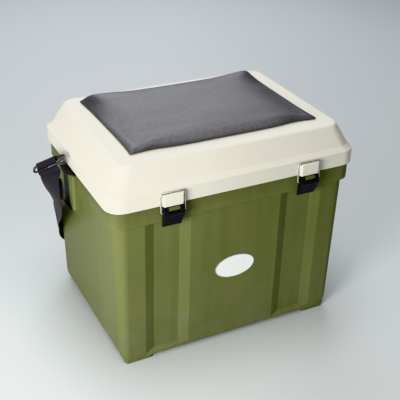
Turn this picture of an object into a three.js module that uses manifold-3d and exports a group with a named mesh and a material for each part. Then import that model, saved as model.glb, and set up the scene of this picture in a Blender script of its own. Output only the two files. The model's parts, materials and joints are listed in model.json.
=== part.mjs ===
// Seat box for anglers: a moulded tub, a hinged lid with a padded seat, two draw latches and a strap.
// Millimetres. X runs along the front, -Y is the front, +Z is up, and the feet stand on z = 0.
import * as THREE from 'three';
import { mergeVertices } from 'three/addons/utils/BufferGeometryUtils.js';
import Module from 'manifold-3d';

const wasm = await Module();
wasm.setup();

// Overall sizes
const lidWidth = 440;
const lidDepth = 317;
const lidCorner = 28;
const footHeight = 7.5;
const tubHeight = 289.4;
const seatGap = 0.3;
const overrun = 6;
const cornerSteps = 7;
const mergeReach = 1e-5;

// Tub
const rimInset = 4.5;
const rimHeight = 31;
const rimStep = 7;
const rimLip = 1.6;
const wall = 3;
const sideDraft = 7;
const faceDraft = 2;
const baseChamfer = 5.5;
const baseChamferHeight = 11;
const baseBand = 3.5;
const baseCorner = 14;
const channelWidth = 78;
const channelFloor = 44;
const channelDepth = 6;
const latchInset = 99.5;
const tongueHeight = 6;
const tongueWall = 2.4;
const tongueInset = 0.6;
const floorThickness = 3.5;
const footLength = 49;
const footDepth = 42;
const footInset = 1;
const footCorner = 4;

// Lid
const bandHeight = 25.5;
const bandRound = 1.6;
const shoulderHeight = 9;
const slopeHeight = 32;
const crownRound = 2.2;
const shoulderInset = 9;
const topInsetSide = 27.3;
const topInsetFront = 21;
const lidWall = 3;
const ribWall = 2.2;
const ribDrop = 9;

// Draw latches
const pinRadius = 1.6;
const pinLength = 29.6;
const bore = 0.3;
const pivotReach = 7;
const pivotDrop = 3.7;
const knuckleWidth = 18.4;
const knuckleRadius = 3.6;
const leverWidth = 33.4;
const leverTailWidth = 31;
const cheekRadius = 3.9;
const sideGap = 0.4;
const leverLength = 32.7;
const leverLean = 10;
const leverFace = 5.5;
const leverPlate = 2.4;
const leverTail = 3.6;
const plateTop = 4.8;
const gripRibs = 5;
const gripHeight = 0.8;
const gripWidth = 1.6;
const bailThrow = 6;
const bailOffset = 1;
const wireRadius = 1.25;
const wireBossWall = 2;
const bailWidth = 40;
const bailHeight = 31.2;
const bailTongue = 7;
const bailBend = 4;
const catchWidth = 36.4;
const catchBevel = 3.2;
const catchReach = 9.5;
const catchLip = 3;
const catchRise = 21;
const grooveDepth = 2.5;
const grooveClearance = 0.5;
const barStandOff = 2.5;
const catchRound = 1.2;

// Rear hinges
const hingeReach = 7;
const hingeDrop = 1.2;
const hingeRadius = 4.5;
const hingePinRadius = 2;
const hingeWidth = 36;
const hingeMiddle = 22;
const hingeArmHeight = 15;

// Strap lugs
const lugWidth = 50;
const lugHeight = 63;
const lugTopDrop = 6;
const lugReach = 9;
const lugWall = 4;
const lugOffset = 20;
const lugRound = 3;

// Seat
const padMarginSide = 26.7;
const padMarginFront = 29;
const padEdge = 8;
const padCrown = 9;
const padDraw = 2.6;
const padCorner = 7;
const padTurn = 2.5;
const boardInset = 10;
const boardThickness = 5;
const boardCorner = 10;
const screwRadius = 2;
const screwHeadRadius = 4.2;
const screwHeadHeight = 2.4;
const screwGrip = 4;
const screwInset = 30;
const screwBossRadius = 6.5;
const screwBossHeight = 4;
const keeperScrewSpacing = 18;
const keeperScrewDepth = 4;

// Strap
const webWidth = 38;
const webThickness = 1.6;
const webSpacing = 14;
const slideLength = 64;
const slideShift = 5;
const slidePitch = 12.2;
const slideWire = 1.9;
const slidePlace = [-258, 20.3, 302.8];
const slideBarShare = [0.695, -0.529, 0.486];
const slideUpShare = [0.332, 0.836, 0.437];

// Heights and half sizes worked out from the sizes above
const tubTop = footHeight + tubHeight;
const lidBase = tubTop + seatGap;
const rimBase = tubTop - rimHeight;
const halfLidX = lidWidth / 2;
const halfLidY = lidDepth / 2;
const rimX = halfLidX - rimInset;
const rimY = halfLidY - rimInset;
const rimCorner = lidCorner - rimInset;
const wallX = rimX - rimStep;
const wallY = rimY - rimStep;
const wallCorner = rimCorner - rimStep / 2;
const bandTop = lidBase + bandHeight;
const shoulderTop = bandTop + shoulderHeight;
const lidTop = shoulderTop + slopeHeight;
const latchX = halfLidX - latchInset;
const pivotY = -(halfLidY + pivotReach);
const pivotZ = tubTop - pivotDrop;
const bailPivotY = pivotY + bailOffset;
const bailPivotZ = pivotZ - Math.sqrt(bailThrow ** 2 - bailOffset ** 2);
const barY = -(halfLidY + barStandOff);
const barZ = bailPivotZ + bailHeight;
const catchTop = barZ - wireRadius - grooveClearance + grooveDepth;
const catchBase = catchTop - catchRise;
const hingeY = halfLidY + hingeReach;
const hingeZ = lidBase - hingeDrop;
const padWidth = lidWidth - 2 * (topInsetSide + padMarginSide);
const padDepth = lidDepth - 2 * (topInsetFront + padMarginFront);
const boardWidth = padWidth - 2 * boardInset;
const boardDepth = padDepth - 2 * boardInset;

const material = (color, roughness, metalness = 0) => (
  new THREE.MeshStandardMaterial({ color, roughness, metalness })
);
const green = material(0x66743a, 0.5);
const cream = material(0xe9e5d6, 0.45);
const black = material(0x1d1e22, 0.45);
const steel = material(0xb9b7b0, 0.3, 1);
const vinyl = material(0x3f4045, 0.55);
const webbing = material(0x1b1b20, 0.85);
const boardColour = material(0x8a6b45, 0.7);

// Solids in and out of the boolean library
function toSolid(geometry) {
  const bare = geometry.index ? geometry.toNonIndexed() : geometry.clone();
  for (const name of Object.keys(bare.attributes)) if (name !== 'position') bare.deleteAttribute(name);
  const merged = mergeVertices(bare, mergeReach);
  const vertProperties = new Float32Array(merged.attributes.position.array);
  const triVerts = new Uint32Array(merged.index.array);
  return new wasm.Manifold(new wasm.Mesh({ numProp: 3, vertProperties, triVerts }));
}

function toGeometry(solid) {
  const data = solid.getMesh();
  const geometry = new THREE.BufferGeometry();
  geometry.setAttribute('position', new THREE.BufferAttribute(new Float32Array(data.vertProperties), 3));
  geometry.setIndex(new THREE.BufferAttribute(new Uint32Array(data.triVerts), 1));
  geometry.computeVertexNormals();
  return geometry;
}

// A closed body through rings of equal length, with flat ends
function loft(rings) {
  const count = rings[0].length;
  const positions = rings.flat().flatMap((p) => [p.x, p.y, p.z]);
  const index = [];
  for (let k = 0; k < rings.length - 1; k += 1) {
    for (let i = 0; i < count; i += 1) {
      const j = (i + 1) % count;
      const a = k * count + i;
      const b = k * count + j;
      index.push(a, b, b + count, a, b + count, a + count);
    }
  }
  const flatten = (ring) => {
    const origin = ring[0];
    const along = new THREE.Vector3().subVectors(ring[1], origin).normalize();
    const normal = new THREE.Vector3();
    ring.forEach((p, i) => {
      const toThis = new THREE.Vector3().subVectors(p, origin);
      const toNext = new THREE.Vector3().subVectors(ring[(i + 1) % count], origin);
      normal.add(toThis.cross(toNext));
    });
    normal.normalize();
    const across = new THREE.Vector3().crossVectors(normal, along);
    return ring.map((p) => {
      const d = new THREE.Vector3().subVectors(p, origin);
      return new THREE.Vector2(d.dot(along), d.dot(across));
    });
  };
  const last = (rings.length - 1) * count;
  for (const [a, b, c] of THREE.ShapeUtils.triangulateShape(flatten(rings[0]), [])) index.push(c, b, a);
  for (const [a, b, c] of THREE.ShapeUtils.triangulateShape(flatten(rings.at(-1)), [])) {
    index.push(last + a, last + b, last + c);
  }
  const geometry = new THREE.BufferGeometry();
  geometry.setAttribute('position', new THREE.Float32BufferAttribute(positions, 3));
  geometry.setIndex(index);
  return geometry;
}

// Rings seen from above, anticlockwise
function roundedRing(halfX, halfY, radius, z, steps = cornerSteps) {
  const ring = [];
  [[1, 1], [-1, 1], [-1, -1], [1, -1]].forEach(([sx, sy], quarter) => {
    for (let i = 0; i <= steps; i += 1) {
      const angle = (quarter + i / steps) * Math.PI / 2;
      const x = sx * (halfX - radius) + radius * Math.cos(angle);
      const y = sy * (halfY - radius) + radius * Math.sin(angle);
      ring.push(new THREE.Vector3(x, y, z));
    }
  });
  return ring;
}

// A wall ring with the two channels in its front and in its back
function channelRing(halfX, halfY, radius, z, depth, widen = 0) {
  const outer = channelWidth / 2 + widen;
  const inner = channelFloor / 2 + widen;
  const ring = [];
  const corners = [[1, 1], [-1, 1], [-1, -1], [1, -1]];
  corners.forEach(([sx, sy], quarter) => {
    for (let i = 0; i <= cornerSteps; i += 1) {
      const angle = (quarter + i / cornerSteps) * Math.PI / 2;
      const x = sx * (halfX - radius) + radius * Math.cos(angle);
      const y = sy * (halfY - radius) + radius * Math.sin(angle);
      ring.push(new THREE.Vector3(x, y, z));
    }
    if (quarter % 2 === 0) {
      const side = sy;
      for (const centre of [latchX, -latchX]) {
        for (const [at, sunk] of [[outer, 0], [inner, 1], [-inner, 1], [-outer, 0]]) {
          ring.push(new THREE.Vector3(side * (centre + at), side * (halfY - sunk * depth), z));
        }
      }
    }
  });
  return ring;
}

// An outline in the Y-Z plane, drawn as [y, z], pushed along X between two places
function alongX(outline, from, to) {
  const shape = new THREE.Shape(outline.map(([y, z]) => new THREE.Vector2(y, z)));
  const geometry = new THREE.ExtrudeGeometry(shape, { depth: to - from, bevelEnabled: false });
  const frame = new THREE.Matrix4().makeBasis(
    new THREE.Vector3(0, 1, 0), new THREE.Vector3(0, 0, 1), new THREE.Vector3(1, 0, 0),
  );
  return toSolid(geometry.applyMatrix4(frame).translate(from, 0, 0));
}

// An outline seen from above, drawn as [x, y], pushed upward
function upward(outline, bottom, top) {
  const shape = new THREE.Shape(outline.map(([x, y]) => new THREE.Vector2(x, y)));
  const geometry = new THREE.ExtrudeGeometry(shape, { depth: top - bottom, bevelEnabled: false });
  return toSolid(geometry.translate(0, 0, bottom));
}

// The smallest outline round a set of circles, each [y, z, radius]
function hullOutline(circles, steps = 20) {
  const points = [];
  for (const [y, z, radius] of circles) {
    for (let i = 0; i < steps; i += 1) {
      const angle = i / steps * 2 * Math.PI;
      points.push([y + radius * Math.cos(angle), z + radius * Math.sin(angle)]);
    }
  }
  points.sort((p, q) => p[0] - q[0] || p[1] - q[1]);
  const turn = (o, a, b) => (a[0] - o[0]) * (b[1] - o[1]) - (a[1] - o[1]) * (b[0] - o[0]);
  const half = (list) => {
    const chain = [];
    for (const p of list) {
      while (chain.length > 1 && turn(chain.at(-2), chain.at(-1), p) <= 0) chain.pop();
      chain.push(p);
    }
    chain.pop();
    return chain;
  };
  return [...half(points), ...half([...points].reverse())];
}

function boxBetween(x0, x1, y0, y1, z0, z1) {
  const geometry = new THREE.BoxGeometry(x1 - x0, y1 - y0, z1 - z0);
  return toSolid(geometry.translate((x0 + x1) / 2, (y0 + y1) / 2, (z0 + z1) / 2));
}

function rodX(x0, x1, y, z, radius, sides = 16) {
  const geometry = new THREE.CylinderGeometry(radius, radius, x1 - x0, sides);
  return toSolid(geometry.rotateZ(Math.PI / 2).translate((x0 + x1) / 2, y, z));
}

function rodY(y0, y1, x, z, radius, sides = 14) {
  const geometry = new THREE.CylinderGeometry(radius, radius, y1 - y0, sides);
  return toSolid(geometry.translate(x, (y0 + y1) / 2, z));
}

function rodZ(z0, z1, x, y, radius, sides = 14) {
  const geometry = new THREE.CylinderGeometry(radius, radius, z1 - z0, sides);
  return toSolid(geometry.rotateX(Math.PI / 2).translate(x, y, (z0 + z1) / 2));
}

const object = new THREE.Group();
function place(name, solid, look) {
  const mesh = new THREE.Mesh(toGeometry(solid), look);
  mesh.name = name;
  object.add(mesh);
  return mesh;
}
const sides = [['left', -1], ['right', 1]];

// Tub: a tapered shell with channels under the latches, a proud rim band and a plain base band
function tubWall(inset, widen, bottom, top) {
  const chamferTop = footHeight + baseChamferHeight;
  const shareAt = (z) => (rimBase - z) / (rimBase - footHeight);
  const halfX = (z) => wallX - sideDraft * shareAt(z) - inset;
  const halfY = (z) => wallY - faceDraft * shareAt(z) - inset;
  const radius = (z) => wallCorner + (baseCorner - wallCorner) * shareAt(z) - inset / 2;
  const bandFloor = footHeight + baseBand;
  const ring = (z, depth, narrow) => channelRing(halfX(z) - narrow, halfY(z), radius(z), z, depth, widen);
  const chamferAt = (z) => Math.max(0, baseChamfer * (chamferTop - z) / baseChamferHeight);
  const heights = [bottom];
  if (bottom < bandFloor) heights.push(bandFloor);
  heights.push(Math.max(bottom, bandFloor) + channelDepth);
  heights.push(chamferTop + channelDepth, top);
  return loft(heights.map((z) => ring(z, z > bandFloor + channelDepth / 2 ? channelDepth : 0, chamferAt(z))));
}

function buildTub() {
  let tub = toSolid(tubWall(0, 0, footHeight, rimBase + rimLip));
  const lowRing = [
    roundedRing(rimX - rimLip, rimY - rimLip, rimCorner, rimBase),
    roundedRing(rimX, rimY, rimCorner, rimBase + rimLip),
    roundedRing(rimX, rimY, rimCorner, tubTop),
  ];
  tub = tub.add(toSolid(loft(lowRing)));
  const tongueX = Math.min(halfLidX - lidWall - tongueInset, rimX);
  const tongueY = Math.min(halfLidY - lidWall - tongueInset, rimY);
  const tongueCorner = Math.min(lidCorner - lidWall - tongueInset, rimCorner);
  tub = tub.add(toSolid(loft([
    roundedRing(rimX - tongueInset, rimY - tongueInset, rimCorner, tubTop - tongueWall),
    roundedRing(rimX - tongueInset, rimY - tongueInset, rimCorner, tubTop - tongueInset),
    roundedRing(tongueX - tongueWall / 2, tongueY - tongueWall / 2, tongueCorner, tubTop),
    roundedRing(rimX - tongueWall, rimY - tongueWall, rimCorner - tongueInset, tubTop + tongueHeight),
  ])));
  // the four feet
  for (const sx of [-1, 1]) {
    for (const sy of [-1, 1]) {
      const baseX = wallX - sideDraft - baseChamfer - footInset;
      const baseY = wallY - faceDraft - footInset;
      const foot = toSolid(loft([
        roundedRing(footLength / 2 - footInset, footDepth / 2 - footInset, footCorner, 0),
        roundedRing(footLength / 2, footDepth / 2, footCorner, footHeight + floorThickness / 2),
      ]));
      tub = tub.add(foot.translate([sx * (baseX - footLength / 2), sy * (baseY - footDepth / 2), 0]));
    }
  }
  // latch knuckles
  for (const centre of [-latchX, latchX]) {
    const root = -(rimY - wall / 2);
    const outline = hullOutline([
      [pivotY, pivotZ, knuckleRadius],
      [root, tubTop - pivotDrop, pivotDrop / 2],
      [root, tubTop - pivotDrop * 4, pivotDrop / 2],
    ]);
    tub = tub.add(alongX(outline, centre - knuckleWidth / 2, centre + knuckleWidth / 2));
  }
  // hinge ears
  for (const centre of [-latchX, latchX]) {
    const root = rimY - wall / 2;
    const outline = hullOutline([
      [root, hingeZ - hingeRadius, hingeRadius / 2],
      [root, hingeZ - hingeRadius * 3, hingeRadius / 2],
      [hingeY, hingeZ, hingeRadius],
    ]);
    const reach = [centre - hingeWidth, centre + hingeWidth];
    const clear = boxBetween(...reach, rimY, halfLidY + sideGap, tubTop, tubTop + overrun);
    for (const side of [-1, 1]) {
      const inner = centre + side * (hingeMiddle / 2 + sideGap);
      const outer = centre + side * hingeWidth / 2;
      const ear = alongX(outline, Math.min(inner, outer), Math.max(inner, outer));
      tub = tub.add(ear.subtract(clear));
    }
  }
  // strap lugs
  for (const [, side] of sides) {
    const outerX = halfLidX + lugReach - rimInset;
    const innerX = wallX - sideDraft;
    const top = tubTop - lugTopDrop;
    const bottom = top - lugHeight;
    const y0 = lugOffset - lugWidth / 2;
    const y1 = lugOffset + lugWidth / 2;
    const outline = [
      [innerX, y0], [outerX - lugRound, y0], [outerX, y0 + lugRound],
      [outerX, y1 - lugRound], [outerX - lugRound, y1], [innerX, y1],
    ].map(([x, y]) => [side * x, y]);
    if (side < 0) outline.reverse();
    tub = tub.add(upward(outline, bottom, top));
    // the tunnel for the strap is deeper below the rim
    const across = [y0 + lugWall, y1 - lugWall];
    const outerWall = outerX - lugWall;
    const below = [side * wallX, side * outerWall].sort((a, b) => a - b);
    const beside = [side * rimX, side * outerWall].sort((a, b) => a - b);
    tub = tub.subtract(boxBetween(...below, ...across, bottom - overrun, rimBase));
    tub = tub.subtract(boxBetween(...beside, ...across, rimBase - overrun, top + overrun));
  }
  // the inside
  tub = tub.subtract(toSolid(tubWall(wall, wall / 4, footHeight + floorThickness, rimBase + wall)));
  const mouth = wall + tongueWall;
  tub = tub.subtract(toSolid(loft([
    roundedRing(rimX - wall, rimY - wall, rimCorner - wall, rimBase + wall),
    roundedRing(rimX - mouth, rimY - mouth, rimCorner - wall, tubTop + tongueHeight + overrun),
  ])));
  for (const centre of [-latchX, latchX]) {
    const pinReach = [centre - knuckleWidth, centre + knuckleWidth];
    const earReach = [centre - hingeWidth, centre + hingeWidth];
    tub = tub.subtract(rodX(...pinReach, pivotY, pivotZ, pinRadius + bore));
    tub = tub.subtract(rodX(...earReach, hingeY, hingeZ, hingePinRadius + bore));
  }
  return tub;
}
place('tub', buildTub(), green);

// Lid: a vertical band, a soft shoulder, sloping faces and a flat top, hollow underneath
function lidShell(inset, bottom, top) {
  const step = (dx, dy, corner, z) => (
    roundedRing(halfLidX - inset - dx, halfLidY - inset - dy, corner - inset / 2, z)
  );
  const roundShares = [[0, 0], [0.3, 0.7], [1, 1]];
  const rings = [step(0, 0, lidCorner, bottom), step(0, 0, lidCorner, bandTop - bandRound - inset)];
  for (const [inShare, upShare] of roundShares.slice(1)) {
    const round = bandRound * inShare;
    rings.push(step(round, round, lidCorner, bandTop - inset - bandRound * (1 - upShare)));
  }
  const coveShares = [[0.45, 0.3], [0.8, 0.62], [1, 1]];
  for (const [inShare, upShare] of coveShares) {
    const cove = shoulderInset * inShare;
    rings.push(step(cove, cove, lidCorner - cove / 3, bandTop - inset + shoulderHeight * upShare));
  }
  const crownCorner = lidCorner - topInsetFront / 3;
  const crownShares = [[-1, 1.6, 0], [-0.3, 0.5, 0], [1, 0, 1]];
  for (const [inShare, downShare, tightShare] of crownShares) {
    const side = topInsetSide + crownRound * inShare;
    const front = topInsetFront + crownRound * inShare;
    rings.push(step(side, front, crownCorner - crownRound * tightShare, top - crownRound * downShare));
  }
  return loft(rings);
}

const screwPlaces = [];
for (const sx of [-1, 1]) {
  for (const sy of [-1, 1]) {
    screwPlaces.push([sx * (boardWidth / 2 - screwInset), sy * (boardDepth / 2 - screwInset)]);
  }
}
const keeperScrewZ = catchTop - grooveDepth - catchRise / 2;

function buildLid() {
  let lid = toSolid(lidShell(0, lidBase, lidTop));
  lid = lid.subtract(toSolid(lidShell(lidWall, lidBase - overrun, lidTop - lidWall)));
  // stiffening ribs under the top, with bosses for the seat screws
  const ribX = boardWidth / 2 - screwInset;
  const ribTop = lidTop - lidWall / 2;
  const ribBottom = lidTop - lidWall - ribDrop;
  const innerY = halfLidY - topInsetFront - lidWall;
  const innerX = halfLidX - topInsetSide - lidWall;
  const ribY = boardDepth / 2 - screwInset;
  const half = ribWall / 2;
  for (const x of [-ribX, 0, ribX]) {
    lid = lid.add(boxBetween(x - half, x + half, -innerY, innerY, ribBottom, ribTop));
  }
  for (const y of [-ribY, ribY]) {
    lid = lid.add(boxBetween(-innerX, innerX, y - half, y + half, ribBottom, ribTop));
  }
  const seatUnder = lidTop - lidWall - screwBossHeight;
  for (const [x, y] of screwPlaces) {
    lid = lid.add(rodZ(seatUnder, ribTop, x, y, screwBossRadius, 20));
    lid = lid.subtract(rodZ(ribBottom - overrun, seatUnder, x, y, screwHeadRadius + ribWall));
    lid = lid.subtract(rodZ(seatUnder - overrun, lidTop + overrun, x, y, screwRadius + bore));
  }
  // hinge arms
  for (const centre of [-latchX, latchX]) {
    const root = halfLidY - lidWall / 2;
    const outline = hullOutline([
      [hingeY, hingeZ, hingeRadius],
      [root, lidBase + hingeRadius / 2 + bore, hingeRadius / 2],
      [root, lidBase + hingeArmHeight, hingeRadius / 2],
    ]);
    const reach = [centre - hingeMiddle, centre + hingeMiddle];
    let arm = alongX(outline, centre - hingeMiddle / 2, centre + hingeMiddle / 2);
    arm = arm.subtract(boxBetween(...reach, 0, halfLidY - lidWall, lidBase - overrun, lidTop));
    arm = arm.subtract(boxBetween(...reach, 0, halfLidY + hingeDrop, 0, lidBase));
    lid = lid.add(arm).subtract(rodX(...reach, hingeY, hingeZ, hingePinRadius + bore));
    // holes for the keeper screws
    for (const dx of [-keeperScrewSpacing / 2, keeperScrewSpacing / 2]) {
      const through = [-(halfLidY + overrun), -(halfLidY - lidWall * 2)];
      lid = lid.subtract(rodY(...through, centre + dx, keeperScrewZ, screwRadius + bore));
    }
  }
  return lid;
}
place('lid', buildLid(), cream);

// Keepers on the lid: a block with bevelled ends, and a groove behind its lip for the bail
function buildKeeper(centre) {
  const back = -(halfLidY + seatGap);
  const front = -(halfLidY + catchReach);
  const half = catchWidth / 2;
  const outline = [
    [centre - half, back], [centre - half + catchBevel, front],
    [centre + half - catchBevel, front], [centre + half, back],
  ];
  let block = upward(outline, catchBase, catchTop);
  const profile = [
    [back, catchBase], [back, catchTop - grooveDepth],
    [front + catchLip, catchTop - grooveDepth], [front + catchLip, catchTop - catchRound / 2],
    [front + catchLip - catchRound / 2, catchTop],
    [front + catchRound, catchTop], [front, catchTop - catchRound],
    [front, catchBase + catchRound], [front + catchRound, catchBase],
  ];
  block = block.intersect(alongX(profile.reverse(), centre - catchWidth, centre + catchWidth));
  for (const dx of [-keeperScrewSpacing / 2, keeperScrewSpacing / 2]) {
    const depth = back - keeperScrewDepth - bore;
    block = block.subtract(rodY(depth, back + overrun, centre + dx, keeperScrewZ, screwRadius + bore));
  }
  return block;
}

// Levers: two cheeks on the pivot and a ribbed plate that leans in and narrows towards its tail
function buildLever(centre) {
  const half = leverWidth / 2;
  const tailZ = pivotZ - leverLength;
  const face = pivotY - leverFace;
  const bendZ = pivotZ - plateTop - leverTail;
  const tail = [face + leverLean + leverTail / 2, tailZ + leverTail / 2, leverTail / 2];
  const shoulder = [face + leverTail / 2, bendZ, leverTail / 2];
  const leanAt = (z) => leverLean * (bendZ - z) / (bendZ - tailZ - leverTail / 2);
  const wireBoss = [bailPivotY, bailPivotZ, wireRadius + bore + wireBossWall];
  const outline = hullOutline([[pivotY, pivotZ, cheekRadius], wireBoss, tail, shoulder]);
  const cheekInner = knuckleWidth / 2 + sideGap;
  let lever = alongX(outline, centre - half, centre + half);
  const hollow = hullOutline([
    [pivotY, pivotZ + overrun, cheekRadius + leverFace], [pivotY, pivotZ, cheekRadius + leverFace],
    [pivotY + overrun, pivotZ, cheekRadius], [pivotY + overrun, pivotZ + overrun, cheekRadius],
  ]);
  const between = [centre - cheekInner, centre + cheekInner];
  const abovePlate = [pivotZ - plateTop, tubTop + overrun];
  const above = boxBetween(...between, face - overrun, halfLidY, ...abovePlate);
  lever = lever.subtract(alongX(hollow, ...between).intersect(above));
  const behind = [
    [face + leverPlate, tubTop + overrun], [face + leverPlate, bendZ],
    [face + leverPlate + leanAt(tailZ + leverTail), tailZ + leverTail],
    [halfLidY, tailZ + leverTail], [halfLidY, tubTop + overrun],
  ];
  lever = lever.subtract(alongX(behind.reverse(), ...between));
  // horizontal grip ribs on the plate
  const gripSpan = leverLength - plateTop - leverTail;
  for (let i = 0; i < gripRibs; i += 1) {
    const z = tailZ + leverTail / 2 + gripSpan * (i + 0.5) / gripRibs;
    const front = face + leanAt(z);
    lever = lever.add(alongX([
      [front - gripHeight, z - gripWidth / 4], [front + leverPlate / 2, z - gripWidth],
      [front + leverPlate / 2, z + gripWidth], [front - gripHeight, z + gripWidth / 4],
    ].reverse(), centre - half + gripWidth, centre + half - gripWidth));
  }
  // sides that draw in below the wire's ends
  const tailHalf = leverTailWidth / 2;
  const shoulderZ = bailPivotZ - leverTail;
  const rightSide = [
    [tailHalf, tailZ - overrun], [tailHalf, tailZ], [half, shoulderZ], [half, tubTop + overrun],
  ];
  const leftSide = rightSide.map(([x, z]) => [-x, z]).reverse();
  const outlineFront = [...leftSide, ...rightSide];
  const sheet = new THREE.Shape(outlineFront.map(([x, z]) => new THREE.Vector2(centre + x, z)));
  const prism = new THREE.ExtrudeGeometry(sheet, { depth: lidDepth, bevelEnabled: false });
  lever = lever.intersect(toSolid(prism.rotateX(Math.PI / 2)));
  const through = [centre - leverWidth, centre + leverWidth];
  lever = lever.subtract(rodX(...through, pivotY, pivotZ, pinRadius + bore));
  return lever.subtract(rodX(...through, bailPivotY, bailPivotZ, wireRadius + bore));
}

// Bails: one bent wire with a top bar, two legs and two ends turned into the lever's cheeks
function bailPoints(centre) {
  const corners = [
    [-(bailWidth / 2 - bailTongue), bailPivotY, bailPivotZ], [-bailWidth / 2, bailPivotY, bailPivotZ],
    [-bailWidth / 2, barY, barZ], [bailWidth / 2, barY, barZ],
    [bailWidth / 2, bailPivotY, bailPivotZ], [bailWidth / 2 - bailTongue, bailPivotY, bailPivotZ],
  ].map(([x, y, z]) => new THREE.Vector3(centre + x, y, z));
  return corners;
}

// A bent rod: straight runs joined by short arcs
function bentPath(corners, radii, arcSteps = 4) {
  const points = [corners[0]];
  for (let i = 1; i < corners.length - 1; i += 1) {
    const before = new THREE.Vector3().subVectors(corners[i - 1], corners[i]).normalize();
    const after = new THREE.Vector3().subVectors(corners[i + 1], corners[i]).normalize();
    const reach = radii[i - 1];
    const start = corners[i].clone().addScaledVector(before, reach);
    const end = corners[i].clone().addScaledVector(after, reach);
    const curve = new THREE.QuadraticBezierCurve3(start, corners[i], end);
    points.push(...curve.getPoints(arcSteps));
  }
  points.push(corners.at(-1));
  return points;
}

// A rod through points with its rings square to the run
function rod(points, radius, sidesOfRod = 8, closed = false) {
  const rings = points.map((p, i) => {
    const a = points[closed ? (i - 1 + points.length) % points.length : Math.max(i - 1, 0)];
    const b = points[closed ? (i + 1) % points.length : Math.min(i + 1, points.length - 1)];
    const run = new THREE.Vector3().subVectors(b, a).normalize();
    return { p, run };
  });
  let across = Math.abs(rings[0].run.z) < 0.9 ? new THREE.Vector3(0, 0, 1) : new THREE.Vector3(0, 1, 0);
  return rings.map(({ p, run }) => {
    across = across.clone().addScaledVector(run, -across.dot(run)).normalize();
    const other = new THREE.Vector3().crossVectors(run, across);
    const ring = [];
    for (let i = 0; i < sidesOfRod; i += 1) {
      const angle = i / sidesOfRod * 2 * Math.PI;
      const spoke = across.clone().multiplyScalar(radius * Math.cos(angle));
      ring.push(spoke.addScaledVector(other, radius * Math.sin(angle)).add(p));
    }
    return ring;
  });
}

for (const [name, side] of sides) {
  const centre = side * latchX;
  place(`catch_${name}`, buildKeeper(centre), cream);
  place(`lever_${name}`, buildLever(centre), black);
  const pinEnds = [centre - pinLength / 2, centre + pinLength / 2];
  place(`lever_pin_${name}`, rodX(...pinEnds, pivotY, pivotZ, pinRadius), steel);
  const bends = [wireRadius * 2, bailBend, bailBend, wireRadius * 2];
  place(`bail_${name}`, toSolid(loft(rod(bentPath(bailPoints(centre), bends), wireRadius, 10))), steel);
  const half = hingeWidth / 2;
  place(`hinge_pin_${name}`, rodX(centre - half, centre + half, hingeY, hingeZ, hingePinRadius), steel);
  for (const [end, dx] of [['a', -keeperScrewSpacing / 2], ['b', keeperScrewSpacing / 2]]) {
    const inside = -(halfLidY - lidWall - seatGap);
    const tip = -(halfLidY + keeperScrewDepth);
    const shank = rodY(tip, inside + screwHeadHeight / 2, centre + dx, keeperScrewZ, screwRadius);
    const head = rodY(inside, inside + screwHeadHeight, centre + dx, keeperScrewZ, screwHeadRadius, 18);
    place(`catch_screw_${name}_${end}`, shank.add(head), steel);
  }
}

// Seat: a board screwed down through the lid, and a soft pad wrapped round it
const seatBase = lidTop + seatGap;
function buildBoard() {
  let board = toSolid(loft([
    roundedRing(boardWidth / 2, boardDepth / 2, boardCorner, seatBase),
    roundedRing(boardWidth / 2, boardDepth / 2, boardCorner, seatBase + boardThickness),
  ]));
  for (const [x, y] of screwPlaces) {
    board = board.subtract(rodZ(seatBase - overrun, seatBase + screwGrip + bore, x, y, screwRadius + bore));
  }
  return board;
}
place('seat_board', buildBoard(), boardColour);

// Sides drawn in between the corners, a turned edge and a crowned top
function padRing(inset, z, steps = 9) {
  const halfX = padWidth / 2 - inset;
  const halfY = padDepth / 2 - inset;
  const draw = padDraw * halfY / (padDepth / 2);
  const radius = Math.max(padCorner - inset / 3, padCorner / 2);
  const corner = new THREE.Vector2(halfX - radius, halfY - radius);
  const arc = 3;
  const ring = [];
  [[1, 1], [-1, 1], [-1, -1], [1, -1]].forEach(([sx, sy], quarter) => {
    for (let i = 0; i <= arc; i += 1) {
      const angle = (quarter + i / arc) * Math.PI / 2;
      const x = sx * corner.x + radius * Math.cos(angle);
      const y = sy * corner.y + radius * Math.sin(angle);
      ring.push(new THREE.Vector3(x, y, z));
    }
    const alongFront = quarter % 2 === 0;
    for (let i = 1; i < steps; i += 1) {
      const share = 1 - 2 * i / steps;
      const pull = draw * Math.cos(Math.PI / 2 * share);
      const x = alongFront ? sx * corner.x * share : sx * (halfX - pull);
      const y = alongFront ? sy * (halfY - pull) : sy * corner.y * share;
      ring.push(new THREE.Vector3(x, y, z));
    }
  });
  return ring;
}

function buildPad() {
  const top = seatBase + padEdge;
  const middle = seatBase + padEdge / 2;
  const rings = [padRing(padTurn / 2, seatBase), padRing(0, middle), padRing(padTurn / 3, top)];
  const power = 2.6;
  const insetShares = [0.05, 0.12, 0.22, 0.34, 0.48, 0.64, 0.8, 0.9];
  for (const share of insetShares) {
    rings.push(padRing(padDepth / 2 * share, top).map((point) => {
      const acrossX = 1 - Math.min(1, Math.abs(point.x) / (padWidth / 2)) ** power;
      const acrossY = 1 - Math.min(1, Math.abs(point.y) / (padDepth / 2)) ** power;
      return point.setZ(point.z + padCrown * acrossX * acrossY);
    }));
  }
  const pad = toSolid(loft(rings));
  const pocketRing = (z) => roundedRing(boardWidth / 2 + seatGap, boardDepth / 2 + seatGap, boardCorner, z);
  const pocketTop = seatBase + boardThickness + seatGap;
  return pad.subtract(toSolid(loft([pocketRing(seatBase - overrun), pocketRing(pocketTop)])));
}
place('seat_pad', buildPad(), vinyl);

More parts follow.
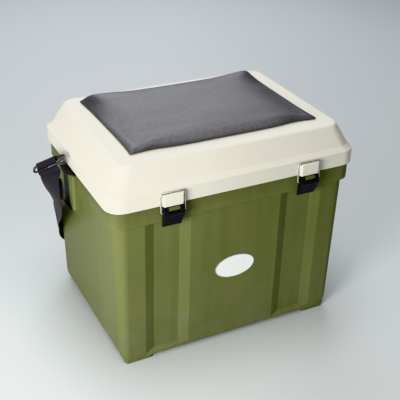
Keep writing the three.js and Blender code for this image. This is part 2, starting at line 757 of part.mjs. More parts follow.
screwPlaces.forEach(([x, y], i) => {
  const underside = lidTop - lidWall - screwBossHeight - seatGap;
  const shank = rodZ(underside - screwHeadHeight / 2, seatBase + screwGrip, x, y, screwRadius);
  const head = rodZ(underside - screwHeadHeight, underside, x, y, screwHeadRadius, 18);
  place(`seat_screw_${i + 1}`, shank.add(head), steel);
});

// Shoulder strap: flat webbing through a wire slide and round the two lugs
function ribbon(stations, spacing = webSpacing) {
  const places = stations.map(([x, y, z]) => new THREE.Vector3(x, y, z));
  const widths = stations.map((station) => new THREE.Vector3(...station.slice(3)));
  const line = new THREE.CatmullRomCurve3(places, false, 'centripetal');
  const lean = new THREE.CatmullRomCurve3(widths, false, 'centripetal');
  const runs = stations.length - 1;
  const steps = [];
  for (let i = 0; i < runs; i += 1) {
    const count = Math.max(1, Math.round(places[i].distanceTo(places[i + 1]) / spacing));
    for (let k = 0; k < count; k += 1) steps.push((i + k / count) / runs);
  }
  steps.push(1);
  return loft(steps.map((t) => {
    const place = line.getPoint(t);
    const run = line.getTangent(t);
    const across = lean.getPoint(t);
    across.addScaledVector(run, -across.dot(run)).normalize();
    const face = new THREE.Vector3().crossVectors(run, across);
    return [[1, 1], [-1, 1], [-1, -1], [1, -1]].map(([a, b]) => place.clone()
      .addScaledVector(across, a * webWidth / 2).addScaledVector(face, b * webThickness / 2));
  }));
}

// the slide's own directions: along its bars, from bar to bar, and out of its face
const slideAlong = new THREE.Vector3(...slideBarShare).normalize();
const slideUp = new THREE.Vector3(...slideUpShare);
slideUp.addScaledVector(slideAlong, -slideUp.dot(slideAlong)).normalize();
const slideOut = new THREE.Vector3().crossVectors(slideAlong, slideUp);
const slidePoint = (along, up, out) => new THREE.Vector3(...slidePlace)
  .addScaledVector(slideAlong, along).addScaledVector(slideUp, up).addScaledVector(slideOut, out);

function buildSlide() {
  const corner = slidePitch / 2;
  const half = slideLength / 2 - slideWire - corner;
  const arc = 8;
  const points = [];
  for (const sign of [1, -1]) {
    for (let i = 0; i <= arc; i += 1) {
      const angle = Math.PI * (i / arc - 0.5);
      const along = slideShift + sign * (half + corner * Math.cos(angle));
      points.push(slidePoint(along, corner + sign * corner * Math.sin(angle), 0));
    }
  }
  const rings = rod(points, slideWire, 8, true);
  const halfway = arc + 2;
  const firstHalf = toSolid(loft(rings.slice(0, halfway + 1)));
  return firstHalf.add(toSolid(loft([...rings.slice(halfway), rings[0]])));
}

const atSlide = (up, out) => [...slidePoint(0, up, out).toArray(), ...slideAlong.toArray()];
const clear = slideWire + webThickness / 2 + seatGap * 2;
// over the slide's upper bar, through its middle and behind its lower bar
const wrapShares = [[-1.1, -0.9], [0, -1], [0.72, -0.72], [1, 0], [0.72, 0.72], [0, 1.02], [-0.9, 0.8]];
const passShares = [[0.6, -0.9], [-0.6, -1.3], [-1, -2.6]];
const mainStrap = [
  ...wrapShares.map(([up, out]) => atSlide(slidePitch + clear * up, clear * out)),
  atSlide(slidePitch / 2, 0),
  ...passShares.map(([up, out]) => atSlide(clear * up, clear * out)),
  [-255, 17, 285, 0.5, -0.75, 0.3], [-252.3, 19, 266, 0.38, -0.9, 0.2],
  [-244.5, 28, 236, 0.1, -0.99, 0.1], [-237, 50, 207, 0, -0.95, -0.25],
  [-230.5, 82, 178, -0.1, -0.8, -0.55], [-217, 116, 148, -0.2, -0.65, -0.75],
  [-201, 150, 113, -0.35, -0.35, -0.85], [-186, 163, 88, -0.35, -0.1, -0.9],
  [-160, 174, 64, -0.3, -0.05, -0.95], [-112, 186, 40, -0.15, 0, -0.98],
  [-40, 191, 25, 0, 0, -1], [40, 191, 23, 0, 0, -1],
  [110, 189, 30, 0.1, 0, -1], [171, 180, 46, 0.3, -0.1, -1],
  [201, 162, 64, 0.3, -0.35, -0.9], [219, 134, 86, 0.15, -0.6, -0.75], [229, 101, 116, 0, -0.8, -0.55],
  [235, 68, 154, 0, -0.87, -0.45], [236.5, 40, 190, 0, -0.95, -0.25], [232, 24.5, 212, 0, -1, -0.1],
  [228.2, 20, 228, 0, -1, 0], [227.7, 20, 256, 0, -1, 0],
];
const leftLoop = [
  [-233.5, 21, 296.4, 0.05, -0.98, 0], [-228.5, 20, 293.8, 0, -1, 0], [-224.5, 20, 292.1, 0, -1, 0],
  [-220.5, 20, 292.1, 0, -1, 0], [-219.65, 20, 291.75, 0, -1, 0], [-219.3, 20, 290.9, 0, -1, 0],
  [-218.6, 20, 280, 0, -1, 0], [-218.6, 20, 239, 0, -1, 0], [-219.3, 20, 227.9, 0, -1, 0],
  [-219.65, 20, 227.05, 0, -1, 0], [-220.5, 20, 226.6, 0, -1, 0], [-224.6, 20, 226.7, 0, -1, 0],
  [-225.6, 20, 227.2, 0, -1, 0], [-230, 20, 231.5, 0, -1, 0], [-236, 20, 241.5, 0, -1, 0],
  [-240, 20, 252, 0.1, -1, 0.1], [-242.5, 20, 264, 0.2, -0.92, 0.2], [-246, 19.8, 275, 0.35, -0.85, 0.25],
  [-250, 19.2, 284, 0.45, -0.8, 0.3],
];
const rightLoop = [
  [225.7, 20, 238, 0, -1, 0], [225.7, 20, 260, 0, -1, 0], [225.7, 20, 290.9, 0, -1, 0],
  [225.35, 20, 291.75, 0, -1, 0], [224.5, 20, 292.1, 0, -1, 0], [220.5, 20, 292.1, 0, -1, 0],
  [219.65, 20, 291.75, 0, -1, 0], [219.3, 20, 290.9, 0, -1, 0], [218.6, 20, 280, 0, -1, 0],
  [218.6, 20, 239, 0, -1, 0], [219.3, 20, 227.9, 0, -1, 0], [219.65, 20, 227.05, 0, -1, 0],
  [220.5, 20, 226.7, 0, -1, 0], [224.5, 20, 226.7, 0, -1, 0], [225.35, 20, 227.05, 0, -1, 0],
  [225.7, 20, 227.9, 0, -1, 0], [225.7, 20, 236.5, 0, -1, 0],
];
place('shoulder_strap', toSolid(ribbon(mainStrap)), webbing);
place('strap_loop_left', toSolid(ribbon(leftLoop, webSpacing / 2)), webbing);
place('strap_loop_right', toSolid(ribbon(rightLoop, webSpacing / 2)), webbing);
place('strap_slide', buildSlide(), steel);

export default object;
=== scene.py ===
# Seat box for anglers: finishes, padded seat, strap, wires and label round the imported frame
import json
import math

import bmesh
import bpy
from mathutils import Matrix, Vector, noise


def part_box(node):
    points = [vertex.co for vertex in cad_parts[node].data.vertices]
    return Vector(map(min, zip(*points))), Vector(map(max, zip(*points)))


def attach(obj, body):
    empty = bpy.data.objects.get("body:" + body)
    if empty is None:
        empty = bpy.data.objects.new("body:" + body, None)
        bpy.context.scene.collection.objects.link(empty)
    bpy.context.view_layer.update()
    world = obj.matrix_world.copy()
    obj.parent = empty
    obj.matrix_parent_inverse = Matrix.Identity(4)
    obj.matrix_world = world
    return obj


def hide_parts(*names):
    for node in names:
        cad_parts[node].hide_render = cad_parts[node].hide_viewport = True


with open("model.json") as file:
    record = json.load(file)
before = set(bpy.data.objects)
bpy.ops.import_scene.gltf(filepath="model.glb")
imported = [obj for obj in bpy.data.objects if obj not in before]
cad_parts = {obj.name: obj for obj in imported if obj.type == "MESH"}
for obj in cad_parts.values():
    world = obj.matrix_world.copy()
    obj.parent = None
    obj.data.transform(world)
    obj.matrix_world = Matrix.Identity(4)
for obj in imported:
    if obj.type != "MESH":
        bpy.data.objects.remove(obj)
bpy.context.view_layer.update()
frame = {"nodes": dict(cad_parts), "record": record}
nodes = frame["nodes"]
mm = 0.001
print("frame loaded,", len(nodes), "nodes")


# camera at the photograph's angle
photoView = {
    "azimuth": 27.47,  # degrees to the left of the front
    "elevation": 29.35,
    "roll": 1.52,
    "distance": 1.44262,
    "lens": 73.04,
    "aim": (0.00939, 0, 0.19218),
}


def placeCamera(view):
    azimuth, elevation = math.radians(view["azimuth"]), math.radians(view["elevation"])
    away = Vector((-math.sin(azimuth) * math.cos(elevation), -math.cos(azimuth) * math.cos(elevation),
                   math.sin(elevation)))
    turn = Matrix.Rotation(-azimuth, 4, "Z") @ Matrix.Rotation(math.pi / 2 - elevation, 4, "X")
    roll = Matrix.Rotation(math.radians(view["roll"]), 4, "Z")
    data = bpy.data.cameras.new("camera")
    data.lens = view["lens"]
    data.sensor_width = 36
    camera = bpy.data.objects.new("camera", data)
    bpy.context.scene.collection.objects.link(camera)
    place = Vector(view["aim"]) + away * view["distance"]
    camera.matrix_world = Matrix.Translation(place) @ turn @ roll
    bpy.context.scene.camera = camera


placeCamera(photoView)
print("camera placed")


# helpers for picking, finishing and copying
def pickNothing():
    if bpy.context.object and bpy.context.object.mode != "OBJECT":
        bpy.ops.object.mode_set(mode="OBJECT")
    bpy.ops.object.select_all(action="DESELECT")


def pickOnly(piece):
    pickNothing()
    piece.select_set(True)
    bpy.context.view_layer.objects.active = piece


def applyAll(piece):
    pickOnly(piece)
    for modifier in list(piece.modifiers):
        bpy.ops.object.modifier_apply(modifier=modifier.name)


def placeInMesh(piece):
    pickOnly(piece)
    bpy.ops.object.transform_apply(location=True, rotation=True, scale=True)


def smoothBy(piece, degrees):
    pickOnly(piece)
    bpy.ops.object.shade_smooth_by_angle(angle=math.radians(degrees))


def dress(piece, look):
    piece.data.materials.clear()
    piece.data.materials.append(look)


# shader maths
class Link:
    # a socket that can stand in a sum
    def __init__(self, look, socket):
        self.look = look
        self.socket = socket

    def __add__(self, other):
        return self.look.maths("ADD", self, other)

    def __mul__(self, other):
        return self.look.maths("MULTIPLY", self, other)

    __radd__ = __add__
    __rmul__ = __mul__


class Look:
    # one Principled material, its coordinates and the nodes that feed it
    def __init__(self, name, uvName=None, **sockets):
        self.material = bpy.data.materials.new(name)
        self.material.use_nodes = True
        self.tree = self.material.node_tree
        self.tree.nodes.clear()
        output = self.tree.nodes.new("ShaderNodeOutputMaterial")
        self.shader = self.tree.nodes.new("ShaderNodeBsdfPrincipled")
        self.tree.links.new(self.shader.outputs[0], output.inputs["Surface"])
        for socket, value in sockets.items():
            self.shader.inputs[socket.replace("_", " ")].default_value = value
        if uvName:
            self.place = self.node("ShaderNodeUVMap", {}, uv_map=uvName)
        else:
            self.place = self.node("ShaderNodeTexCoord", {}, out="Object")

    def node(self, kind, feeds, out=0, **settings):
        made = self.tree.nodes.new(kind)
        for name, setting in settings.items():
            setattr(made, name, setting)
        for name, value in feeds.items():
            if isinstance(value, Link):
                self.tree.links.new(value.socket, made.inputs[name])
            else:
                made.inputs[name].default_value = value
        return Link(self, made.outputs[out])

    def maths(self, operation, first, second=0.0):
        return self.node("ShaderNodeMath", {0: first, 1: second}, operation=operation)

    def stretched(self, scale):
        return self.node("ShaderNodeMapping", {"Vector": self.place, "Scale": scale})

    def grain(self, scale, detail=2.0, roughness=0.5, place=None):
        feeds = {"Vector": place or self.place, "Scale": scale, "Detail": detail,
                 "Roughness": roughness}
        return self.node("ShaderNodeTexNoise", feeds, noise_dimensions="3D")

    def cells(self, scale, feature="F1"):
        feeds = {"Vector": self.place, "Scale": scale}
        return self.node("ShaderNodeTexVoronoi", feeds, feature=feature, out="Distance")

    def between(self, value, low, high, lowOut=0.0, highOut=1.0):
        feeds = {"Value": value, "From Min": low, "From Max": high, "To Min": lowOut, "To Max": highOut}
        return self.node("ShaderNodeMapRange", feeds)

    def mixed(self, share, first, second):
        feeds = {0: share, 6: first, 7: second}
        return self.node("ShaderNodeMix", feeds, data_type="RGBA", out=2)

    def axis(self, name):
        return self.node("ShaderNodeSeparateXYZ", {"Vector": self.place}, out=name)

    def bump(self, height, distance, strength=1.0, under=None):
        feeds = {"Height": height, "Distance": distance, "Strength": strength}
        if under:
            feeds["Normal"] = under
        return self.node("ShaderNodeBump", feeds)

    def feed(self, socket, link):
        self.tree.links.new(link.socket, self.shader.inputs[socket])


def rgb(red, green, blue):
    return (red, green, blue, 1.0)


# finishes
def greenPlastic():
    # moulded polypropylene: a satin skin with broad shrinkage, faint flow streaks and fine stipple
    look = Look("greenPlastic", IOR=1.4, Specular_IOR_Level=0.09)
    broad = look.grain(7.0, 3.0)
    streaks = look.grain(1.0, 4.0, place=look.stretched((70, 70, 4)))
    height = look.axis("Z")
    tone = look.between(broad * 0.45 + streaks * 0.55, 0.32, 0.68)
    skin = look.mixed(tone, rgb(0.128, 0.145, 0.059), rgb(0.158, 0.175, 0.075))
    low = look.between(height, 0.17, 0.0) * look.between(look.grain(38.0, 6.0), 0.3, 0.75)
    # painted shade right under the lid's lip, where the lip shadows the rim; dusty near the ground
    paintedLipShadow = look.between(height, 0.268, 0.298)
    shaded = look.mixed(paintedLipShadow * 0.5, skin, rgb(0.085, 0.095, 0.04))
    look.feed("Base Color", look.mixed(low * 0.5, shaded, rgb(0.20, 0.205, 0.14)))
    scuffs = look.between(look.grain(1.0, 5.0, 0.6, look.stretched((25, 25, 420))), 0.62, 0.8)
    look.feed("Roughness", look.between(broad, 0.3, 0.7, 0.36, 0.46) + scuffs * 0.06 + low * 0.15)
    sinks = look.bump(look.grain(11.0, 1.0), 0.0012, 0.35)
    look.feed("Normal", look.bump(look.grain(1500.0, 1.0), 0.00003, 0.5, under=sinks))
    return look.material


def creamPlastic():
    # the same plastic in cream, with a few fine dark specks and hazy rubbed streaks
    look = Look("creamPlastic", IOR=1.49, Specular_IOR_Level=0.3)
    broad = look.grain(6.0, 3.0)
    specks = look.between(look.cells(260.0), 0.05, 0.012) * look.between(look.grain(21.0), 0.56, 0.66)
    clean = look.mixed(look.between(broad, 0.3, 0.7), rgb(0.675, 0.655, 0.575), rgb(0.705, 0.685, 0.61))
    look.feed("Base Color", look.mixed(specks * 0.25, clean, rgb(0.42, 0.38, 0.30)))
    hazy = look.between(look.grain(1.0, 5.0, 0.6, look.stretched((40, 260, 60))), 0.6, 0.8)
    look.feed("Roughness", look.between(broad, 0.3, 0.7, 0.38, 0.47) + hazy * 0.06)
    sinks = look.bump(look.grain(13.0, 1.0), 0.0010, 0.3)
    look.feed("Normal", look.bump(look.grain(1500.0, 1.0), 0.00003, 0.5, under=sinks))
    return look.material


def blackPlastic():
    # moulded nylon, rubbed a little paler in patches
    look = Look("blackPlastic", IOR=1.5, Specular_IOR_Level=0.4)
    paintedFrontSheen = look.between(look.grain(240.0, 4.0), 0.5, 0.8)
    look.feed("Base Color", look.mixed(paintedFrontSheen * 0.5, rgb(0.009, 0.009, 0.012), rgb(0.022, 0.022, 0.026)))
    look.feed("Roughness", look.between(look.grain(90.0, 3.0), 0.3, 0.7, 0.3, 0.5))
    look.feed("Normal", look.bump(look.grain(1800.0, 1.0), 0.00002, 0.4))
    return look.material


def steelWire():
    # plated steel with fine drawing lines
    look = Look("steelWire", Metallic=1.0)
    drawn = look.grain(1.0, 3.0, place=look.stretched((900, 900, 60)))
    bright = look.between(drawn, 0.3, 0.7)
    look.feed("Base Color", look.mixed(bright, rgb(0.56, 0.55, 0.52), rgb(0.74, 0.73, 0.70)))
    look.feed("Roughness", look.between(drawn, 0.3, 0.7, 0.2, 0.34))
    return look.material


def slideMetal():
    # dark plating, rubbed through in spots
    look = Look("slideMetal", Metallic=0.85)
    rubbed = look.between(look.grain(160.0, 4.0), 0.45, 0.7)
    look.feed("Base Color", look.mixed(rubbed, rgb(0.055, 0.058, 0.065), rgb(0.16, 0.165, 0.18)))
    look.feed("Roughness", look.between(look.grain(300.0, 2.0), 0.3, 0.7, 0.28, 0.42))
    return look.material


def vinylGrain():
    # coated fabric with a fine pebbled grain that catches a broad soft sheen
    look = Look("vinylGrain", IOR=1.5, Specular_IOR_Level=0.55, Coat_Roughness=0.35, Coat_Weight=0.12)
    pebble = look.cells(500.0, feature="SMOOTH_F1")
    fine = look.grain(1500.0, 2.0)
    broad = look.grain(1.0, 3.0, place=look.stretched((9, 34, 20)))
    valley = look.between(pebble, 0.15, 0.6)
    cloud = look.between(broad, 0.35, 0.65)
    tone = look.mixed(cloud, rgb(0.060, 0.060, 0.067), rgb(0.080, 0.078, 0.090))
    # painted highlight: the front edge above the lip is painted paler, standing in for sheen on the
    # front roll
    frontEdge = look.between(look.axis("Y"), -0.088, -0.100)
    middle = look.between(look.axis("X"), -0.125, -0.06) * look.between(look.axis("X"), 0.125, 0.085)
    aboveLip = look.between(look.axis("Z"), 0.3660, 0.3690)
    paintedFrontSheen = look.mixed(frontEdge * middle * aboveLip * 0.95, tone, rgb(0.135, 0.130, 0.142))
    look.feed("Base Color", look.mixed(valley * 0.6, paintedFrontSheen, rgb(0.030, 0.030, 0.035)))
    look.feed("Roughness", look.between(broad, 0.3, 0.7, 0.42, 0.50) + valley * 0.08)
    look.feed("Normal", look.bump(pebble * -1.0 + fine * 0.3, 0.00022, 0.6))
    return look.material


def webbing():
    # crosswise ribs with warp yarns over them, read from the strap's own map in millimetres
    look = Look("webbing", uvName="weave", Specular_IOR_Level=0.2, Sheen_Weight=0.12,
                Sheen_Roughness=0.5)
    across, along = look.axis("X"), look.axis("Y")
    waver = look.maths("SINE", along * (math.pi / 1.5)) * 1.1
    yarn = look.maths("SINE", across * (2 * math.pi / 1.3) + waver)
    rib = look.maths("SINE", along * (2 * math.pi / 3.0))
    fuzz = look.grain(2.2, 3.0, 0.6)
    weave = look.between(yarn * 0.5 + rib * 0.5 + fuzz * 0.8, -0.6, 1.2)
    look.feed("Base Color", look.mixed(weave, rgb(0.009, 0.008, 0.011), rgb(0.028, 0.025, 0.033)))
    look.feed("Roughness", look.between(fuzz, 0.3, 0.7, 0.62, 0.85))
    look.feed("Normal", look.bump(weave, 0.00025, 0.7))
    return look.material


def labelFace():
    # bare pale plate with a thin clear coat
    look = Look("labelFace", IOR=1.45, Coat_Weight=0.5, Coat_Roughness=0.12)
    cloud = look.between(look.grain(45.0, 3.0), 0.35, 0.65)
    look.feed("Base Color", look.mixed(cloud, rgb(0.84, 0.88, 0.86), rgb(0.88, 0.92, 0.90)))
    look.feed("Roughness", look.between(look.grain(200.0, 2.0), 0.3, 0.7, 0.24, 0.34))
    return look.material


def labelRim():
    # raised metallic edge of the plate
    look = Look("labelRim", Metallic=0.7)
    patches = look.grain(120.0, 3.0)
    look.feed("Base Color", look.mixed(patches, rgb(0.40, 0.42, 0.40), rgb(0.55, 0.57, 0.56)))
    look.feed("Roughness", look.between(look.grain(260.0), 0.3, 0.7, 0.25, 0.4))
    return look.material


def plywood():
    # long fibres and the edges of the layers
    look = Look("plywood", Specular_IOR_Level=0.3)
    ply = look.maths("SINE", look.axis("Z") * (2 * math.pi / 0.0025))
    fibre = look.grain(1.0, 5.0, 0.6, look.stretched((14, 160, 160)))
    wood = look.mixed(look.between(fibre, 0.3, 0.7), rgb(0.30, 0.18, 0.08), rgb(0.46, 0.31, 0.16))
    layers = look.between(ply, -0.2, 0.2)
    look.feed("Base Color", look.mixed(layers * 0.35, wood, rgb(0.20, 0.11, 0.05)))
    look.feed("Roughness", look.between(fibre, 0.3, 0.7, 0.6, 0.8))
    look.feed("Normal", look.bump(fibre, 0.0003, 0.4))
    return look.material


def paleFloor():
    look = Look("paleFloor", Specular_IOR_Level=0.2)
    clouds = look.grain(3.0, 3.0)
    look.feed("Base Color", look.mixed(clouds, rgb(0.54, 0.575, 0.59), rgb(0.555, 0.59, 0.605)))
    look.feed("Roughness", look.between(look.grain(9.0), 0.3, 0.7, 0.75, 0.85))
    return look.material


looks = {make.__name__: make() for make in (
    greenPlastic, creamPlastic, blackPlastic, steelWire, slideMetal, vinylGrain, webbing, labelFace,
    labelRim, plywood, paleFloor)}
print("finishes made")


# shoulder strap: flat webbing along the stations of the CAD route
# each station is the run's middle in metres and the way that the webbing's width points
webWidth, webThickness = 38 * mm, 1.6 * mm
slideRing = {
    "place": (-0.258, 0.0203, 0.3028),
    "along": (0.695, -0.529, 0.486),
    "up": (0.332, 0.836, 0.437),
    "length": 64 * mm,
    "shift": 5 * mm,  # how far the ring lies along from its place
    "pitch": 12.2 * mm,
    "wire": 1.9 * mm,
    "gap": 0.6 * mm,
}
weaveDetail = {
    "step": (0.8 * mm),
    "ribPitch": 3.0 * mm,
    "ribHeight": 0.1 * mm,
    "acrossCount": 12,
    "edgeCount": 4,
}
slideAlong = Vector(slideRing["along"]).normalized()
slideUp = Vector(slideRing["up"])
slideUp = (slideUp - slideAlong * slideUp.dot(slideAlong)).normalized()
slideOut = slideAlong.cross(slideUp)


def slidePoint(along, up, out):
    return Vector(slideRing["place"]) + slideAlong * along + slideUp * up + slideOut * out


def atSlide(up, out):
    return (*slidePoint(0, up, out), *slideAlong)


slideClear = slideRing["wire"] + webThickness / 2 + slideRing["gap"]
wrapShares = [(-1.1, -0.9), (0, -1), (0.72, -0.72), (1, 0), (0.72, 0.72), (0, 1.02), (-0.9, 0.8)]
passShares = [(0.6, -0.9), (-0.6, -1.3), (-1, -2.6)]
mainStrap = [
    *[atSlide(slideRing["pitch"] + slideClear * up, slideClear * out) for up, out in wrapShares],
    atSlide(slideRing["pitch"] / 2, 0),
    *[atSlide(slideClear * up, slideClear * out) for up, out in passShares],
    (-0.255, 0.017, 0.285, 0.5, -0.75, 0.3), (-0.2523, 0.019, 0.266, 0.38, -0.9, 0.2),
    (-0.2445, 0.028, 0.236, 0.1, -0.99, 0.1), (-0.237, 0.05, 0.207, 0, -0.95, -0.25),
    (-0.2305, 0.082, 0.178, -0.1, -0.8, -0.55), (-0.217, 0.116, 0.148, -0.2, -0.65, -0.75),
    (-0.201, 0.15, 0.113, -0.35, -0.35, -0.85), (-0.186, 0.163, 0.088, -0.35, -0.1, -0.9),
    (-0.16, 0.174, 0.064, -0.3, -0.05, -0.95), (-0.112, 0.186, 0.04, -0.15, 0, -0.98),
    (-0.04, 0.191, 0.025, 0, 0, -1), (0.04, 0.191, 0.023, 0, 0, -1),
    (0.11, 0.189, 0.03, 0.1, 0, -1), (0.171, 0.18, 0.046, 0.3, -0.1, -1),
    (0.201, 0.162, 0.064, 0.3, -0.35, -0.9), (0.219, 0.134, 0.086, 0.15, -0.6, -0.75),
    (0.229, 0.101, 0.116, 0, -0.8, -0.55), (0.235, 0.068, 0.154, 0, -0.87, -0.45),
    (0.2365, 0.04, 0.19, 0, -0.95, -0.25), (0.232, 0.0245, 0.212, 0, -1, -0.1),
    (0.2282, 0.02, 0.228, 0, -1, 0), (0.2277, 0.02, 0.256, 0, -1, 0),
]
leftLoop = [
    (-0.2335, 0.021, 0.2964, 0.05, -0.98, 0), (-0.2285, 0.02, 0.2938, 0, -1, 0),
    (-0.2245, 0.02, 0.2921, 0, -1, 0), (-0.2205, 0.02, 0.2921, 0, -1, 0),
    (-0.21965, 0.02, 0.29175, 0, -1, 0), (-0.2193, 0.02, 0.2909, 0, -1, 0),
    (-0.2186, 0.02, 0.28, 0, -1, 0), (-0.2186, 0.02, 0.239, 0, -1, 0),
    (-0.2193, 0.02, 0.2279, 0, -1, 0), (-0.21965, 0.02, 0.22705, 0, -1, 0),
    (-0.2205, 0.02, 0.2266, 0, -1, 0), (-0.2246, 0.02, 0.2267, 0, -1, 0),
    (-0.2256, 0.02, 0.2272, 0, -1, 0), (-0.23, 0.02, 0.2315, 0, -1, 0),
    (-0.236, 0.02, 0.2415, 0, -1, 0), (-0.24, 0.02, 0.252, 0.1, -1, 0.1),
    (-0.2425, 0.02, 0.264, 0.2, -0.92, 0.2), (-0.246, 0.0198, 0.275, 0.35, -0.85, 0.25),
    (-0.25, 0.0192, 0.284, 0.45, -0.8, 0.3),
]
rightLoop = [
    (0.2257, 0.02, 0.238, 0, -1, 0), (0.2257, 0.02, 0.26, 0, -1, 0),
    (0.2257, 0.02, 0.2909, 0, -1, 0), (0.22535, 0.02, 0.29175, 0, -1, 0),
    (0.2245, 0.02, 0.2921, 0, -1, 0), (0.2205, 0.02, 0.2921, 0, -1, 0),
    (0.21965, 0.02, 0.29175, 0, -1, 0), (0.2193, 0.02, 0.2909, 0, -1, 0),
    (0.2186, 0.02, 0.28, 0, -1, 0), (0.2186, 0.02, 0.239, 0, -1, 0),
    (0.2193, 0.02, 0.2279, 0, -1, 0), (0.21965, 0.02, 0.22705, 0, -1, 0),
    (0.2205, 0.02, 0.2267, 0, -1, 0), (0.2245, 0.02, 0.2267, 0, -1, 0),
    (0.22535, 0.02, 0.22705, 0, -1, 0), (0.2257, 0.02, 0.2279, 0, -1, 0),
    (0.2257, 0.02, 0.2365, 0, -1, 0),
]


def splineAt(points, index, share):
    # centripetal Catmull-Rom through points, between points[index] and the next
    before = points[index - 1] if index > 0 else points[0] * 2 - points[1]
    after = points[index + 2] if index + 2 < len(points) else points[-1] * 2 - points[-2]
    first, second = points[index], points[index + 1]
    middle = math.sqrt((second - first).length) or 1.0
    lead = math.sqrt((first - before).length) or middle
    trail = math.sqrt((after - second).length) or middle
    chord = (second - first) / middle
    leave = ((first - before) / lead - (second - before) / (lead + middle) + chord) * middle
    reach = (chord - (after - first) / (middle + trail) + (after - second) / trail) * middle
    bend = first * -3 + second * 3 - leave * 2 - reach
    twist = first * 2 - second * 2 + leave + reach
    return first + leave * share + bend * share ** 2 + twist * share ** 3


def stripLine(stations, step):
    places = [Vector(station[:3]) for station in stations]
    widths = [Vector(station[3:]) for station in stations]
    line = []
    for index in range(len(places) - 1):
        count = max(1, round((places[index + 1] - places[index]).length / step))
        line += [(splineAt(places, index, k / count), widths[index].lerp(widths[index + 1], k / count))
                 for k in range(count)]
    line.append((places[-1], widths[-1]))
    return line


def buildStrip(name, stations):
    # a closed strip of webbing with rounded edges, woven ribs and a map in millimetres
    line = stripLine(stations, weaveDetail["step"])
    places = [place for place, width in line]
    half = webWidth / 2 - webThickness / 2
    section = [(half - 2 * half * k / weaveDetail["acrossCount"], webThickness / 2)
               for k in range(weaveDetail["acrossCount"] + 1)]
    for k in range(1, weaveDetail["edgeCount"]):
        angle = math.pi / 2 + math.pi * k / weaveDetail["edgeCount"]
        section.append((-half + webThickness / 2 * math.cos(angle), webThickness / 2 * math.sin(angle)))
    section += [(-x, -y) for x, y in section]
    mesh = bmesh.new()
    uvLayer = mesh.loops.layers.uv.new("weave")
    rings, runLengths, travelled = [], [], 0.0
    for index, (place, width) in enumerate(line):
        run = (places[min(index + 1, len(places) - 1)] - places[max(index - 1, 0)]).normalized()
        across = (width - run * width.dot(run)).normalized()
        face = run.cross(across)
        travelled += (place - places[index - 1]).length if index else 0.0
        rib = math.sin(2 * math.pi * travelled / weaveDetail["ribPitch"]) * weaveDetail["ribHeight"]
        ring = []
        for x, y in section:
            swell = rib * math.copysign(1, y) * (1 - min(1, abs(x) / half) ** 8)
            ring.append(mesh.verts.new(place + across * x + face * (y + swell)))
        rings.append(ring)
        runLengths.append(travelled)
    size = len(section)
    for index in range(len(rings) - 1):
        for k in range(size):
            corners = [(index, k), (index, (k + 1) % size), (index + 1, (k + 1) % size), (index + 1, k)]
            quad = mesh.faces.new([rings[i][j] for i, j in corners])
            for loop, (i, j) in zip(quad.loops, corners):
                loop[uvLayer].uv = (section[j][0] / mm, runLengths[i] / mm)
    for ring, travelledHere in ((rings[0], 0.0), (rings[-1], travelled)):
        cap = mesh.faces.new(ring)
        for loop, (x, y) in zip(cap.loops, section):
            loop[uvLayer].uv = (x / mm, travelledHere / mm + y / mm)
    bmesh.ops.recalc_face_normals(mesh, faces=mesh.faces)
    data = bpy.data.meshes.new(name)
    mesh.to_mesh(data)
    mesh.free()
    piece = bpy.data.objects.new(name, data)
    bpy.context.scene.collection.objects.link(piece)
    smoothBy(piece, 60)
    dress(piece, looks["webbing"])
    return piece, places, travelled


def buildSlideRing():
    # a torus pulled apart into a long ring
    pickNothing()
    bend = slideRing["pitch"] / 2
    bpy.ops.mesh.primitive_torus_add(major_radius=bend, minor_radius=slideRing["wire"],
                                     major_segments=48, minor_segments=20)
    ring = bpy.context.object
    ring.name = "slideRing"
    pull = slideRing["length"] / 2 - slideRing["wire"] - bend
    bpy.ops.object.mode_set(mode="EDIT")
    for side in (1, -1):
        shape = bmesh.from_edit_mesh(ring.data)
        for vertex in shape.verts:
            vertex.select = vertex.co.x * side > 1e-5
        shape.select_flush(True)
        bmesh.update_edit_mesh(ring.data)
        bpy.ops.transform.translate(value=(side * pull, 0, 0))
    bpy.ops.object.mode_set(mode="OBJECT")
    turn = Matrix((slideAlong, slideUp, slideOut)).transposed().to_4x4()
    ring.matrix_world = Matrix.Translation(slidePoint(slideRing["shift"], bend, 0)) @ turn
    placeInMesh(ring)
    smoothBy(ring, 60)
    dress(ring, looks["slideMetal"])
    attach(ring, "box")
    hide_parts("strap_slide")
    return ring


def buildStrap():
    ring = buildSlideRing()
    for name, stations, node in (("strapLoopLeft", leftLoop, "strap_loop_left"),
                                 ("strapLoopRight", rightLoop, "strap_loop_right")):
        loop = buildStrip(name, stations)[0]
        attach(loop, "box")
        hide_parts(node)
    strap, strapLine, strapLength = buildStrip("shoulderStrap", mainStrap)
    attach(strap, "box")
    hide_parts("shoulder_strap")
    print("strap length along its middle", round(strapLength, 4))


buildStrap()
print("strap made")


# moulded shells, latches and pins: softened copies of the CAD nodes
softness = {
    # node: (piece, look, edge rounding, shortest edge rounded, angle that counts as an edge)
    "tub": ("tubShell", "greenPlastic", 1.0 * mm, 5 * mm, 16),
    "lid": ("lidShell", "creamPlastic", 0.9 * mm, 5 * mm, 18),
    "catch_left": ("catchLeft", "creamPlastic", 0.5 * mm, 2 * mm, 25),
    "catch_right": ("catchRight", "creamPlastic", 0.5 * mm, 2 * mm, 25),
    "lever_left": ("leverLeft", "blackPlastic", 0.35 * mm, 2 * mm, 30),
    "lever_right": ("leverRight", "blackPlastic", 0.35 * mm, 2 * mm, 30),
    "lever_pin_left": ("leverPinLeft", "steelWire", 0.3 * mm, 0.2 * mm, 40),
    "lever_pin_right": ("leverPinRight", "steelWire", 0.3 * mm, 0.2 * mm, 40),
    "hinge_pin_left": ("hingePinLeft", "steelWire", 0.4 * mm, 0.2 * mm, 40),
    "hinge_pin_right": ("hingePinRight", "steelWire", 0.4 * mm, 0.2 * mm, 40),
    "seat_board": ("seatBoard", "plywood", 0.5 * mm, 2 * mm, 30),
}
